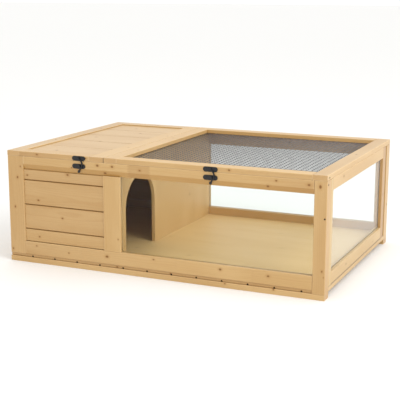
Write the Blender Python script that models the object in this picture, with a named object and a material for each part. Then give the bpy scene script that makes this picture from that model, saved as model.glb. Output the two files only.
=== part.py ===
"""Tortoise house: a long wooden box on two skids, with a boarded hide at the left and a glazed run
at the right, an arched doorway between them, and two lids on hinges behind, each with a hook latch.

Metres, +Z up, the front faces -Y. The origin is on the ground under the middle of the house.
"""
import math

import bmesh
import bpy
from mathutils import Matrix

# Whole house
HOUSE_LENGTH = 0.920
HOUSE_DEPTH = 0.635
BOX_TOP = 0.301
FIT = 0.0003
EASE = 0.001
OVERRUN = 0.002
SMOOTH_ANGLE = math.radians(40)

# Skids and the shadow strips that carry the floor
SKID_HEIGHT = 0.015
SKID_DEPTH = 0.033
SHADOW_TOP = 0.024
SHADOW_SETBACK = 0.0035
END_STRIP_TOP = 0.029

# Front and back walls
WALL = 0.018
HIDE_STILE = 0.050
SEAM_PAST_STILE = 0.0015
FRONT_MIDDLE_STILE = 0.0505
BACK_MIDDLE_STILE = 0.0395
POST_WIDTH = 0.0325
POST_DEPTH = 0.033
TOP_RAIL = 0.035
BEVEL_HEIGHT = 0.014
BEVEL_DEPTH = 0.0055
SILL_TOP = 0.0605

# End walls
END_TOP_RAIL = 0.031
END_SILL_TOP = 0.062
RUN_END_FRONT_STILE = 0.019
RUN_END_BACK_STILE = 0.0447
END_REBATE = 0.0137
END_REBATE_DEPTH = 0.010
HIDE_END_STILE = 0.032

# Clear panes in their grooves
PANE = 0.003
PANE_INSET = 0.0085
GROOVE = 0.007
GROOVE_PLAY = 0.0005

# Tongued and grooved boards
BOARD = 0.012
BOARD_SETBACK = 0.003
TONGUE = 0.003
TONGUE_REACH = 0.0055
BOARD_CHAMFER = 0.0018
BOARD_CHAMFER_DEPTH = 0.0032
BOARD_COVER = 0.0693
RIPPED_BOARD = 0.0363
END_BOARDS = 3

# Floor and dividing wall
FLOOR = 0.012
DIVIDER = 0.010
DIVIDER_OFFSET = 0.029
DOOR_FROM_FRONT = 0.035
DOOR_WIDTH = 0.175
DOOR_SPRING = 0.127
DOOR_ARC_STEPS = 20

# Lids
LID = 0.0137
LEFT_LID_LENGTH = 0.303
LID_SEAM = 0.0016
LID_RAIL = 0.038
SEAM_RAIL = 0.043
LID_REBATE = 0.008
ROOF_LIP = 0.003
ROOF_BOARD = 0.010
ROOF_BOARDS = 5
ROOF_JOINT = 0.0012
NET_WIRE = 0.0022
NET_THICK = 0.0023
NET_PITCH = 0.035

# Butt hinges behind
HINGE_LENGTH = 0.050
HINGE_LEAF = 0.0108
HINGE_SHEET = 0.0012
HINGE_PIN = 0.0010
PIN_HEAD = 0.0005
PIN_BITE = 0.0002
HINGE_KNUCKLES = 5
HINGE_INSET = 0.031
KNUCKLE_STEPS = 14

# Hook latches in front
LATCH_FROM_SEAM = 0.074
LATCH_RIGHT = 0.6135
LATCH_PLATE = 0.040
LATCH_PLATE_HEIGHT = 0.0130
LATCH_SHEET = 0.0012
KEEPER_DROP = 0.0215
HOOK_REACH = 0.0352
HOOK_BULGE = 0.0112
HOOK_WIDTH = 0.0030
HOOK_THICK = 0.0025
HOOK_EYE = 0.0042
HOOK_BALL = 0.0042
HOOK_BALL_DEPTH = 0.0020
PIVOT = 0.0018
PIVOT_HEAD = 0.0032
KEEPER = 0.0056
KEEPER_HEAD = 0.0064
HEAD_THICK = 0.0007
ROUND_STEPS = 24

# Places worked out from the sizes above, along X from the left end, along Y from the front
INNER_BACK = HOUSE_DEPTH - WALL
MIDDLE_STILE_LEFT = LEFT_LID_LENGTH - SEAM_PAST_STILE
RAIL_START = HIDE_STILE + FIT
RAIL_END = HOUSE_LENGTH - POST_WIDTH - FIT
RAIL_BASE = BOX_TOP - TOP_RAIL
SHADOW_BASE = SKID_HEIGHT + FIT
POST_BASE = SKID_HEIGHT + FIT
SILL_BASE = SHADOW_TOP
FLOOR_TOP = SHADOW_TOP + FLOOR
POST_BACK = HOUSE_DEPTH - POST_DEPTH
RUN_END_START = POST_DEPTH + FIT
RUN_END_STOP = POST_BACK - FIT
HIDE_END_START = WALL + FIT
HIDE_END_STOP = INNER_BACK - FIT
DIVIDER_LEFT = MIDDLE_STILE_LEFT + DIVIDER_OFFSET
LID_BASE = BOX_TOP + FIT
RIGHT_LID_START = LEFT_LID_LENGTH + LID_SEAM
HINGE_RADIUS = HINGE_PIN + FIT + HINGE_SHEET
HINGE_Y = HOUSE_DEPTH + FIT + HINGE_RADIUS
HINGE_Z = BOX_TOP + FIT / 2
LATCH_LEFT = LEFT_LID_LENGTH - LATCH_FROM_SEAM
LATCH_FRONT = FIT + LATCH_SHEET
HOOK_BACK = LATCH_FRONT + FIT
HOOK_FRONT = HOOK_BACK + HOOK_THICK
PIVOT_Z = LID_BASE + LID / 2 - FIT


def clear_scene():
    for item in list(bpy.data.objects):
        bpy.data.objects.remove(item, do_unlink=True)


def make_material(name, color, roughness, metallic=0.0, alpha=1.0, transmission=0.0):
    material = bpy.data.materials.new(name)
    material.use_nodes = True
    shader = material.node_tree.nodes["Principled BSDF"]
    shader.inputs["Base Color"].default_value = (*color, 1.0)
    shader.inputs["Roughness"].default_value = roughness
    shader.inputs["Metallic"].default_value = metallic
    shader.inputs["Alpha"].default_value = alpha
    shader.inputs["Transmission Weight"].default_value = transmission
    material.diffuse_color = (*color, alpha)
    return material


def place(x, y, z):
    """World place of a point given from the left end, the front face and the ground."""
    return (x - HOUSE_LENGTH / 2, y - HOUSE_DEPTH / 2, z)


def finish(name, mesh, location, material, parent=None):
    mesh.materials.append(material)
    item = bpy.data.objects.new(name, mesh)
    bpy.context.collection.objects.link(item)
    if parent is not None:
        item.parent = parent
        location = tuple(a - b for a, b in zip(location, parent.location))
    item.location = location
    return item


def eased(outline, size):
    """The outline with its outermost square corners taken off, as planed timber has them."""
    ends = [(min(values), max(values)) for values in zip(*outline)]
    points = []
    for i, corner in enumerate(outline):
        if not all(value in end for value, end in zip(corner, ends)):
            points.append(corner)
            continue
        for other in (outline[i - 1], outline[(i + 1) % len(outline)]):
            reach = math.hypot(other[0] - corner[0], other[1] - corner[1])
            share = min(size / reach, 0.4)
            points.append(tuple(c + (o - c) * share for c, o in zip(corner, other)))
    return points


def sweep_outline(name, outline, along, length):
    """Closed mesh of a flat outline drawn out along one axis.

    The outline's two values are (Y, Z) along "x", (X, Z) along "y" and (X, Y) along "z".
    """
    order = {"x": lambda s, a, b: (s, a, b), "y": lambda s, a, b: (a, s, b), "z": lambda s, a, b: (a, b, s)}
    build = bmesh.new()
    start = [build.verts.new(order[along](0, a, b)) for a, b in outline]
    stop = [build.verts.new(order[along](length, a, b)) for a, b in outline]
    build.faces.new(start)
    build.faces.new(stop)
    count = len(outline)
    for i in range(count):
        j = (i + 1) % count
        build.faces.new((start[i], start[j], stop[j], stop[i]))
    bmesh.ops.recalc_face_normals(build, faces=build.faces)
    mesh = bpy.data.meshes.new(name)
    build.to_mesh(mesh)
    build.free()
    return mesh


def rounded(item):
    """Shade a round piece smooth, and keep its true corners sharp."""
    item.data.shade_smooth()
    item.data.set_sharp_from_angle(angle=SMOOTH_ANGLE)


def swept(name, outline, along, start, stop, corner, material, parent=None, ease=EASE):
    """A piece of constant section: corner gives the outline's zero, from the house's own corner."""
    if ease > 0:
        outline = eased(outline, ease)
    mesh = sweep_outline(name, outline, along, stop - start)
    a, b = corner
    at = {"x": (start, a, b), "y": (a, start, b), "z": (a, b, start)}[along]
    return finish(name, mesh, place(*at), material, parent)


def rectangle(width, height):
    return [(0, 0), (width, 0), (width, height), (0, height)]


def bar(name, along, low, high, material, parent=None, ease=EASE):
    """A squared piece between two corners given from the house's own corner, drawn along its grain."""
    run = "xyz".index(along)
    across = [k for k in range(3) if k != run]
    outline = rectangle(*(high[k] - low[k] for k in across))
    corner = tuple(low[k] for k in across)
    return swept(name, outline, along, low[run], high[run], corner, material, parent, ease)


def mirrored(outline, width):
    """The outline turned over left to right within its width."""
    return [(width - a, b) for a, b in reversed(outline)]


def round_points(radius, steps, start=0.0, sweep=2 * math.pi, close=False):
    last = steps + 1 if close else steps
    turn = [start + sweep * i / steps for i in range(last)]
    return [(radius * math.cos(t), radius * math.sin(t)) for t in turn]


def union_all(item, others):
    """Join solids that overlap into one body, and hide the ones that were added."""
    for other in others:
        other.hide_render = True
        other.display_type = "WIRE"
        join = item.modifiers.new("join_" + other.name, "BOOLEAN")
        join.operation = "UNION"
        join.solver = "EXACT"
        join.object = other


def cut_from(item, cutter):
    cutter.hide_render = True
    cutter.display_type = "WIRE"
    cut = item.modifiers.new("cut_" + cutter.name, "BOOLEAN")
    cut.operation = "DIFFERENCE"
    cut.solver = "EXACT"
    cut.object = cutter


def groove_in(edge, depth, near, far):
    """Points of a groove, walked from near to far, in an edge at the given height."""
    return [(near, edge), (near, edge - depth), (far, edge - depth), (far, edge)]


PANE_NEAR = PANE_INSET - FIT
PANE_FAR = PANE_INSET + PANE + FIT


def top_rail_outline():
    """Front wall's top rail, (Y, Z) from its outer lower corner: bevelled below, grooved underneath."""
    outline = [(BEVEL_DEPTH, 0), (PANE_NEAR, 0), (PANE_NEAR, GROOVE), (PANE_FAR, GROOVE), (PANE_FAR, 0)]
    outline += [(WALL, 0), (WALL, TOP_RAIL), (0, TOP_RAIL), (0, BEVEL_HEIGHT)]
    return outline


def sill_outline(height):
    """Bottom rail, (outer depth, Z), with the groove in its top."""
    outline = [(0, 0), (WALL, 0), (WALL, height)]
    outline += list(reversed(groove_in(height, GROOVE, PANE_NEAR, PANE_FAR)))
    outline += [(0, height)]
    return outline


def head_outline(height):
    """End wall's top rail, with the groove underneath."""
    return [(a, height - b) for a, b in reversed(sill_outline(height))]


def side_groove_outline(width, depth, groove_near, groove_far, side):
    """Upright, (X, Y) seen from above, with a groove down one side."""
    outline = [(0, 0), (width, 0)]
    if side == "right":
        outline += [(width, groove_near), (width - GROOVE, groove_near)]
        outline += [(width - GROOVE, groove_far), (width, groove_far)]
    outline += [(width, depth), (0, depth)]
    if side == "left":
        outline += [(0, groove_far), (GROOVE, groove_far), (GROOVE, groove_near), (0, groove_near)]
    return outline


def board_outline(height, lower_tongue=False):
    """Board section, (outer depth, Z): chamfered face edges, a tongue above and a groove below."""
    near = PANE_INSET - BOARD_SETBACK
    far = near + TONGUE
    outline = [(BOARD_CHAMFER_DEPTH, 0)]
    if lower_tongue:
        outline += [(near, 0), (near, -TONGUE_REACH), (far, -TONGUE_REACH), (far, 0)]
    else:
        deep = TONGUE_REACH + FIT
        outline += [(near - FIT, 0), (near - FIT, deep), (far + FIT, deep), (far + FIT, 0)]
    outline += [(BOARD, 0), (BOARD, height)]
    outline += [(far, height), (far, height + TONGUE_REACH), (near, height + TONGUE_REACH), (near, height)]
    outline += [(BOARD_CHAMFER_DEPTH, height), (0, height - BOARD_CHAMFER), (0, BOARD_CHAMFER)]
    return outline


def board_edges(base, top, first, cover):
    """Heights of the board joints and of both ends, the first board ripped and the last one cut."""
    edges = [base]
    nearest = base + first
    while nearest < top - 2 * BOARD_CHAMFER - FIT:
        edges.append(nearest)
        nearest += cover
    edges.append(top)
    return edges


def panel_outline(edges, thick, chamfer, chamfer_depth, tongue_reach):
    """Glued boards as one panel, (outer depth, Z) from its lower edge: a V at each joint outside."""
    base = edges[0]
    top = edges[-1] - base
    near = PANE_INSET - BOARD_SETBACK
    far = near + TONGUE
    outline = [(chamfer_depth, 0)]
    if tongue_reach > 0:
        outline += [(near, 0), (near, -tongue_reach), (far, -tongue_reach), (far, 0)]
    outline += [(thick, 0), (thick, top)]
    if tongue_reach > 0:
        outline += [(far, top), (far, top + tongue_reach), (near, top + tongue_reach), (near, top)]
    outline += [(chamfer_depth, top), (0, top - chamfer)]
    for edge in reversed(edges[1:-1]):
        height = edge - base
        outline += [(0, height + chamfer), (chamfer_depth, height), (0, height - chamfer)]
    outline += [(0, chamfer)]
    return outline


def turned_back(outline):
    """A front wall's section as the back wall has it: the outer face turned to the back."""
    return [(-a, b) for a, b in reversed(outline)]


def make_long_wall(side, wood, board_wood, clear):
    """Front or back wall: both are the same frame, turned so that the bevelled face is outside."""
    front = side == "front"
    base_y = 0 if front else HOUSE_DEPTH

    def section(outline):
        return outline if front else turned_back(outline)

    def depth_range(near, far):
        return (near, far) if front else (HOUSE_DEPTH - far, HOUSE_DEPTH - near)

    def upright(outline):
        return outline if front else [(a, -b) for a, b in reversed(outline)]

    middle = FRONT_MIDDLE_STILE if front else BACK_MIDDLE_STILE
    low, high = depth_range(0, SKID_DEPTH)
    bar(side + "_skid", "x", (0, low, 0), (HOUSE_LENGTH, high, SKID_HEIGHT), wood)

    low, high = depth_range(SHADOW_SETBACK, SKID_DEPTH)
    bar(side + "_shadow_strip", "x", (0, low, SHADOW_BASE), (RAIL_END, high, SHADOW_TOP - FIT), wood)

    low, high = depth_range(0, WALL)
    bar(side + "_hide_stile", "z", (0, low, SILL_BASE), (HIDE_STILE, high, BOX_TOP), wood)

    outline = section(top_rail_outline())
    swept(side + "_top_rail", outline, "x", RAIL_START, RAIL_END, (base_y, RAIL_BASE), wood)

    outline = section(sill_outline(SILL_TOP - SILL_BASE))
    swept(side + "_bottom_rail", outline, "x", RAIL_START, RAIL_END, (base_y, SILL_BASE), wood)

    outline = upright(side_groove_outline(middle, WALL, PANE_NEAR, PANE_FAR, "right"))
    start = (MIDDLE_STILE_LEFT, base_y)
    swept(side + "_middle_stile", outline, "z", SILL_TOP + FIT, RAIL_BASE - FIT, start, wood)

    outline = upright(side_groove_outline(POST_WIDTH, POST_DEPTH, PANE_NEAR, PANE_FAR, "left"))
    start = (HOUSE_LENGTH - POST_WIDTH, base_y)
    swept(side + "_corner_post", outline, "z", POST_BASE, BOX_TOP, start, wood)

    low, high = depth_range(PANE_INSET, PANE_INSET + PANE)
    left = MIDDLE_STILE_LEFT + middle - GROOVE + GROOVE_PLAY
    right = HOUSE_LENGTH - POST_WIDTH + GROOVE - GROOVE_PLAY
    base = SILL_TOP - GROOVE + FIT
    top = RAIL_BASE + GROOVE - GROOVE_PLAY
    bar(side + "_window_pane", "x", (left, low, base), (right, high, top), clear, ease=0)

    start = HIDE_STILE + FIT
    stop = MIDDLE_STILE_LEFT - FIT
    edges = board_edges(SILL_TOP + FIT, RAIL_BASE - FIT, RIPPED_BOARD, BOARD_COVER)
    if front:
        for number, (low, high) in enumerate(zip(edges, edges[1:]), 1):
            last = high == edges[-1]
            outline = board_outline(high - low - (0 if last else FIT), lower_tongue=number == 1)
            name = "front_hide_board_%d" % number
            swept(name, outline, "x", start, stop, (BOARD_SETBACK, low), board_wood, ease=0)
    else:
        panel = panel_outline(edges, BOARD, BOARD_CHAMFER, BOARD_CHAMFER_DEPTH, TONGUE_REACH)
        outline = section(panel)
        corner = (HOUSE_DEPTH - BOARD_SETBACK, edges[0])
        swept("back_hide_boards", outline, "x", start, stop, corner, board_wood, ease=0)


def make_run_end(wood, clear):
    """Right end wall, between the corner posts: two stiles, two rails and a clear pane."""
    outer = HOUSE_LENGTH

    def section(outline):
        return [(-a, b) for a, b in reversed(outline)]

    rails_start = RUN_END_START + RUN_END_FRONT_STILE + FIT
    rails_stop = RUN_END_STOP - RUN_END_BACK_STILE - FIT
    sill = section(sill_outline(END_SILL_TOP - END_STRIP_TOP))
    swept("run_end_bottom_rail", sill, "y", rails_start, rails_stop, (outer, END_STRIP_TOP), wood)

    head = section(head_outline(END_TOP_RAIL))
    swept("run_end_top_rail", head, "y", rails_start, rails_stop, (outer, BOX_TOP - END_TOP_RAIL), wood)

    width = RUN_END_FRONT_STILE
    outline = [(-WALL, 0), (0, 0), (0, width), (-PANE_NEAR, width), (-PANE_NEAR, width - GROOVE)]
    outline += [(-PANE_FAR, width - GROOVE), (-PANE_FAR, width), (-WALL, width)]
    swept("run_end_front_stile", outline, "z", END_STRIP_TOP, BOX_TOP, (outer, RUN_END_START), wood)

    width = RUN_END_BACK_STILE
    outline = [(0, 0), (0, width - END_REBATE), (-END_REBATE_DEPTH, width - END_REBATE)]
    outline += [(-END_REBATE_DEPTH, width), (-WALL, width), (-WALL, 0), (-PANE_FAR, 0)]
    outline += [(-PANE_FAR, GROOVE), (-PANE_NEAR, GROOVE), (-PANE_NEAR, 0)]
    corner = (outer, RUN_END_STOP - width)
    swept("run_end_back_stile", outline, "z", END_STRIP_TOP, BOX_TOP, corner, wood)

    low = (outer - WALL, RUN_END_START, SHADOW_BASE)
    high = (outer, RUN_END_STOP, END_STRIP_TOP - FIT)
    bar("run_end_base_strip", "y", low, high, wood)

    near = outer - PANE_INSET - PANE
    start = rails_start - FIT - GROOVE + GROOVE_PLAY
    stop = rails_stop + FIT + GROOVE - GROOVE_PLAY
    top = BOX_TOP - END_TOP_RAIL + GROOVE - GROOVE_PLAY
    low = (near, start, END_SILL_TOP - GROOVE + FIT)
    high = (outer - PANE_INSET, stop, top)
    bar("run_end_window_pane", "y", low, high, clear, ease=0)


def make_hide_end(wood, board_wood):
    """Left end wall, inside the front and back walls: two stiles, two rails and full boards."""
    rails_start = HIDE_END_START + HIDE_END_STILE + FIT
    rails_stop = HIDE_END_STOP - HIDE_END_STILE - FIT
    sill = sill_outline(END_SILL_TOP - END_STRIP_TOP)
    swept("hide_end_bottom_rail", sill, "y", rails_start, rails_stop, (0, END_STRIP_TOP), wood)

    head = head_outline(END_TOP_RAIL)
    swept("hide_end_top_rail", head, "y", rails_start, rails_stop, (0, BOX_TOP - END_TOP_RAIL), wood)

    for name, start in (("front", HIDE_END_START), ("back", HIDE_END_STOP - HIDE_END_STILE)):
        low = (0, start, END_STRIP_TOP)
        bar("hide_end_%s_stile" % name, "z", low, (WALL, start + HIDE_END_STILE, BOX_TOP), wood)

    low = (0, RUN_END_START, SHADOW_BASE)
    bar("hide_end_base_strip", "y", low, (WALL, RUN_END_STOP, END_STRIP_TOP - FIT), wood)

    base = END_SILL_TOP + FIT
    top = BOX_TOP - END_TOP_RAIL - FIT
    edges = [base + (top - base) * i / END_BOARDS for i in range(END_BOARDS + 1)]
    outline = panel_outline(edges, BOARD, BOARD_CHAMFER, BOARD_CHAMFER_DEPTH, TONGUE_REACH)
    corner = (BOARD_SETBACK, base)
    swept("hide_end_boards", outline, "y", rails_start, rails_stop, corner, board_wood, ease=0)


def make_floor(floor_wood):
    """One sheet on the shadow strips, notched round the two corner posts."""
    left = WALL + FIT
    right = HOUSE_LENGTH - WALL - FIT
    near = WALL + FIT
    far = INNER_BACK - FIT
    notch_x = HOUSE_LENGTH - POST_WIDTH - FIT
    outline = [(left, near), (notch_x, near), (notch_x, POST_DEPTH + FIT), (right, POST_DEPTH + FIT)]
    outline += [(right, POST_BACK - FIT), (notch_x, POST_BACK - FIT), (notch_x, far), (left, far)]
    swept("floor_panel", outline, "z", SHADOW_TOP, FLOOR_TOP, (0, 0), floor_wood, ease=0)


def make_divider(board_wood):
    """Wall between hide and run, (Y, Z) outline with the round-headed doorway cut up from the floor."""
    near = WALL + FIT
    far = INNER_BACK - FIT
    base = FLOOR_TOP + FIT
    radius = DOOR_WIDTH / 2
    middle = near + DOOR_FROM_FRONT + radius
    spring = FLOOR_TOP + DOOR_SPRING
    arch = round_points(radius, DOOR_ARC_STEPS, math.pi, -math.pi, close=True)
    outline = [(near, base), (middle - radius, base)]
    outline += [(middle + a, spring + b) for a, b in arch]
    outline += [(middle + radius, base), (far, base), (far, BOX_TOP - FIT), (near, BOX_TOP - FIT)]
    stop = DIVIDER_LEFT + DIVIDER
    swept("dividing_wall", outline, "x", DIVIDER_LEFT, stop, (0, 0), board_wood, ease=0)


def lid_rail_outline(width, step_height, inner_right=True):
    """Lid rail section, (across, Z): the lower inner edge is rebated up to the step's height."""
    shelf = width - LID_REBATE
    outline = [(0, 0), (shelf, 0), (shelf, step_height), (width, step_height), (width, LID), (0, LID)]
    return outline if inner_right else mirrored(outline, width)


def make_lid_frame(side, left, right, left_rail, right_rail, step_height, wood, parent):
    """Four rails: the side rails run the whole depth and the end rails stand between them.

    The side rails' rebate is stopped short of both ends, so that it doesn't show in front.
    """
    reach = LID_RAIL - LID_REBATE
    for end, start, width in (("left", left, left_rail), ("right", right - right_rail, right_rail)):
        name = "%s_lid_%s_rail" % (side, end)
        high = (start + width, HOUSE_DEPTH, LID_BASE + LID)
        rail = bar(name, "y", (start, 0, LID_BASE), high, wood, parent)
        near = start + width - LID_REBATE if end == "left" else start - OVERRUN
        far = near + LID_REBATE + OVERRUN
        low = (near, reach, LID_BASE - OVERRUN)
        high = (far, HOUSE_DEPTH - reach, LID_BASE + step_height)
        cut_from(rail, bar(name + "_rebate", "y", low, high, wood, parent, ease=0))

    start = left + left_rail + FIT
    stop = right - right_rail - FIT
    outline = lid_rail_outline(LID_RAIL, step_height)
    swept(side + "_lid_front_rail", outline, "x", start, stop, (0, LID_BASE), wood, parent)

    outline = lid_rail_outline(LID_RAIL, step_height, inner_right=False)
    corner = (HOUSE_DEPTH - LID_RAIL, LID_BASE)
    swept(side + "_lid_back_rail", outline, "x", start, stop, corner, wood, parent)


def make_left_lid(wood, board_wood, parent):
    step_height = LID - ROOF_LIP
    make_lid_frame("left", 0, LEFT_LID_LENGTH, LID_RAIL, SEAM_RAIL, step_height, wood, parent)
    start = LID_RAIL - LID_REBATE + GROOVE_PLAY
    stop = LEFT_LID_LENGTH - SEAM_RAIL + LID_REBATE - GROOVE_PLAY
    near = LID_RAIL - LID_REBATE + FIT
    far = HOUSE_DEPTH - LID_RAIL + LID_REBATE - FIT
    edges = [(far - near) * i / ROOF_BOARDS for i in range(ROOF_BOARDS + 1)]
    outline = panel_outline(edges, ROOF_BOARD, ROOF_JOINT, ROOF_JOINT, 0)
    outline = [(b, -a) for a, b in outline]
    corner = (near, LID_BASE + step_height - FIT)
    swept("left_lid_roof_boards", outline, "x", start, stop, corner, board_wood, parent, ease=0)


def net_mesh(name, width, depth):
    """Welded net: one flat solid with a square gap between each pair of wires."""
    across = max(1, round(width / NET_PITCH))
    along = max(1, round(depth / NET_PITCH))

    def lines(total, count):
        step = (total - NET_WIRE) / count
        values = []
        for i in range(count + 1):
            values += [i * step, i * step + NET_WIRE]
        return values

    xs = lines(width, across)
    ys = lines(depth, along)
    build = bmesh.new()
    layers = [[[build.verts.new((x, y, z)) for y in ys] for x in xs] for z in (0, NET_THICK)]

    def solid(i, j):
        inside = 0 <= i < len(xs) - 1 and 0 <= j < len(ys) - 1
        return inside and not (i % 2 == 1 and j % 2 == 1)

    def quad(*corners):
        build.faces.new(corners)

    low, high = layers
    for i in range(len(xs) - 1):
        for j in range(len(ys) - 1):
            if not solid(i, j):
                continue
            quad(low[i][j], low[i][j + 1], low[i + 1][j + 1], low[i + 1][j])
            quad(high[i][j], high[i + 1][j], high[i + 1][j + 1], high[i][j + 1])
            if not solid(i, j - 1):
                quad(low[i][j], low[i + 1][j], high[i + 1][j], high[i][j])
            if not solid(i, j + 1):
                quad(low[i + 1][j + 1], low[i][j + 1], high[i][j + 1], high[i + 1][j + 1])
            if not solid(i - 1, j):
                quad(low[i][j + 1], low[i][j], high[i][j], high[i][j + 1])
            if not solid(i + 1, j):
                quad(low[i + 1][j], low[i + 1][j + 1], high[i + 1][j + 1], high[i + 1][j])
    mesh = bpy.data.meshes.new(name)
    build.to_mesh(mesh)
    build.free()
    return mesh


def make_right_lid(wood, steel, parent):
    step_height = 2 * FIT + NET_THICK
    left = RIGHT_LID_START
    make_lid_frame("right", left, HOUSE_LENGTH, LID_RAIL, LID_RAIL, step_height, wood, parent)
    start = left + LID_RAIL - LID_REBATE + GROOVE_PLAY
    stop = HOUSE_LENGTH - LID_RAIL + LID_REBATE - GROOVE_PLAY
    near = LID_RAIL - LID_REBATE + GROOVE_PLAY
    far = HOUSE_DEPTH - LID_RAIL + LID_REBATE - GROOVE_PLAY
    mesh = net_mesh("right_lid_net", stop - start, far - near)
    finish("right_lid_net", mesh, place(start, near, LID_BASE + FIT), steel, parent)


def leaf_outline(upper):
    """Hinge leaf section, (Y, Z) about the pin: a flat leaf whose end is rolled round the pin.

    The lid's knuckles turn freely on the pin and the box's knuckles grip it.
    """
    bore = HINGE_PIN + FIT if upper else HINGE_PIN - PIN_BITE
    roll = math.radians(300)
    outer = round_points(HINGE_RADIUS, KNUCKLE_STEPS, math.pi, -roll, close=True)
    inner = round_points(bore, KNUCKLE_STEPS, math.pi, -roll, close=True)
    reach = -(HINGE_RADIUS + FIT + HINGE_LEAF)
    skin = HINGE_SHEET - HINGE_RADIUS
    outline = [(-HINGE_RADIUS, reach)] + outer + list(reversed(inner))
    outline += [(skin, -HINGE_PIN), (skin, reach)]
    return [(a, -b) for a, b in outline] if upper else outline


def hinge_places():
    """Left end of each hinge, two for the left lid and two for the right one."""
    left = [HINGE_INSET, LEFT_LID_LENGTH - HINGE_INSET - HINGE_LENGTH]
    right = [RIGHT_LID_START + 2 * HINGE_INSET, HOUSE_LENGTH - 2 * HINGE_INSET - HINGE_LENGTH]
    return left, right


def make_leaf(name, start, upper, steel, parent):
    """One leaf: rolled the whole length, then notched where the other leaf's knuckles go."""
    step = HINGE_LENGTH / HINGE_KNUCKLES
    reach = HINGE_RADIUS + FIT
    block = [(-reach - OVERRUN, -reach), (reach + OVERRUN, -reach)]
    block += [(reach + OVERRUN, reach), (-reach - OVERRUN, reach)]
    corner = (HINGE_Y, HINGE_Z)
    stop = start + HINGE_LENGTH
    leaf = swept(name, leaf_outline(upper), "x", start, stop, corner, steel, parent, ease=0)
    rounded(leaf)
    for number in range(HINGE_KNUCKLES):
        if number % 2 == (1 if upper else 0):
            continue
        first = start + number * step - (OVERRUN if number == 0 else FIT / 2)
        final = start + (number + 1) * step + (OVERRUN if number == HINGE_KNUCKLES - 1 else FIT / 2)
        notch_name = "%s_notch_%d" % (name, number + 1)
        cut_from(leaf, swept(notch_name, block, "x", first, final, corner, steel, parent, ease=0))
    return leaf


def make_hinges(steel, left_lid, right_lid):
    left, right = hinge_places()
    for side, starts, lid in (("left", left, left_lid), ("right", right, right_lid)):
        for number, start in enumerate(starts, 1):
            make_leaf("%s_lid_hinge_leaf_%d" % (side, number), start, True, steel, lid)
    for number, start in enumerate(left + right, 1):
        leaf = make_leaf("box_hinge_leaf_%d" % number, start, False, steel, None)
        outline = round_points(HINGE_PIN, ROUND_STEPS)
        stop = start + HINGE_LENGTH + PIN_HEAD
        name = "hinge_pin_%d" % number
        pin = swept(name, outline, "x", start - PIN_HEAD, stop, (HINGE_Y, HINGE_Z), steel, ease=0)
        rounded(pin)
        union_all(leaf, [pin])


def stadium(width, height, steps):
    """Plate outline with round ends, about its middle."""
    radius = height / 2
    straight = width / 2 - radius
    right = round_points(radius, steps, -math.pi / 2, math.pi, close=True)
    left = round_points(radius, steps, math.pi / 2, math.pi, close=True)
    return [(straight + a, b) for a, b in right] + [(-straight + a, b) for a, b in left]


def disc_mesh(name, radius, near, far):
    """Round bar along Y between two distances in front of the wall."""
    mesh = sweep_outline(name, round_points(radius, ROUND_STEPS), "y", far - near)
    mesh.transform(Matrix.Translation((0, -far, 0)))
    return mesh


def make_plate(name, centre_x, centre_z, post, head, black, parent):
    """Screwed plate with a riveted post that stands out through the hook's plane."""
    outline = stadium(LATCH_PLATE, LATCH_PLATE_HEIGHT, ROUND_STEPS // 2)
    at = place(centre_x, 0, centre_z)
    mesh = sweep_outline(name, outline, "y", LATCH_SHEET)
    mesh.transform(Matrix.Translation((0, -LATCH_FRONT, 0)))
    plate = finish(name, mesh, at, black, parent)
    reach = HOOK_FRONT + FIT
    inside = LATCH_FRONT - LATCH_SHEET / 2
    shank = finish(name + "_shank", disc_mesh("shank", post, inside, reach + HEAD_THICK / 2), at, black, parent)
    cap = finish(name + "_cap", disc_mesh("cap", head, reach, reach + HEAD_THICK), at, black, parent)
    for item in (plate, shank, cap):
        rounded(item)
    union_all(plate, [shank, cap])


def hook_spine():
    """Middle line of the hook, (X, Z) from its pivot: bulges to the right and ends at the ball."""
    bulge_shares = (0.0, 0.59, 0.945, 1.00, 0.77, 0.50, 0.135)
    reach_shares = (0.0, 0.136, 0.347, 0.557, 0.722, 0.807, 1.0)
    knots = [(HOOK_BULGE * a, -HOOK_REACH * b) for a, b in zip(bulge_shares, reach_shares)]
    knots = [knots[0]] + knots + [knots[-1]]
    points = []
    steps = 5
    for i in range(1, len(knots) - 2):
        before, start, stop, after = knots[i - 1:i + 3]
        for step in range(steps):
            t = step / steps
            point = []
            for k in range(2):
                slope = (stop[k] - before[k]) * t
                bend = (2 * before[k] - 5 * start[k] + 4 * stop[k] - after[k]) * t * t
                rest = (3 * start[k] - before[k] - 3 * stop[k] + after[k]) * t ** 3
                point.append(start[k] + (slope + bend + rest) / 2)
            points.append(tuple(point))
    points.append(knots[-2])
    return points


def ribbon(points, width):
    """Outline of constant width along an open line of points."""
    left = []
    right = []
    for i, (x, z) in enumerate(points):
        ahead = points[min(i + 1, len(points) - 1)]
        behind = points[max(i - 1, 0)]
        dx = ahead[0] - behind[0]
        dz = ahead[1] - behind[1]
        size = math.hypot(dx, dz)
        left.append((x - dz / size * width / 2, z + dx / size * width / 2))
        right.append((x + dz / size * width / 2, z - dx / size * width / 2))
    return left + list(reversed(right))


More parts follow.
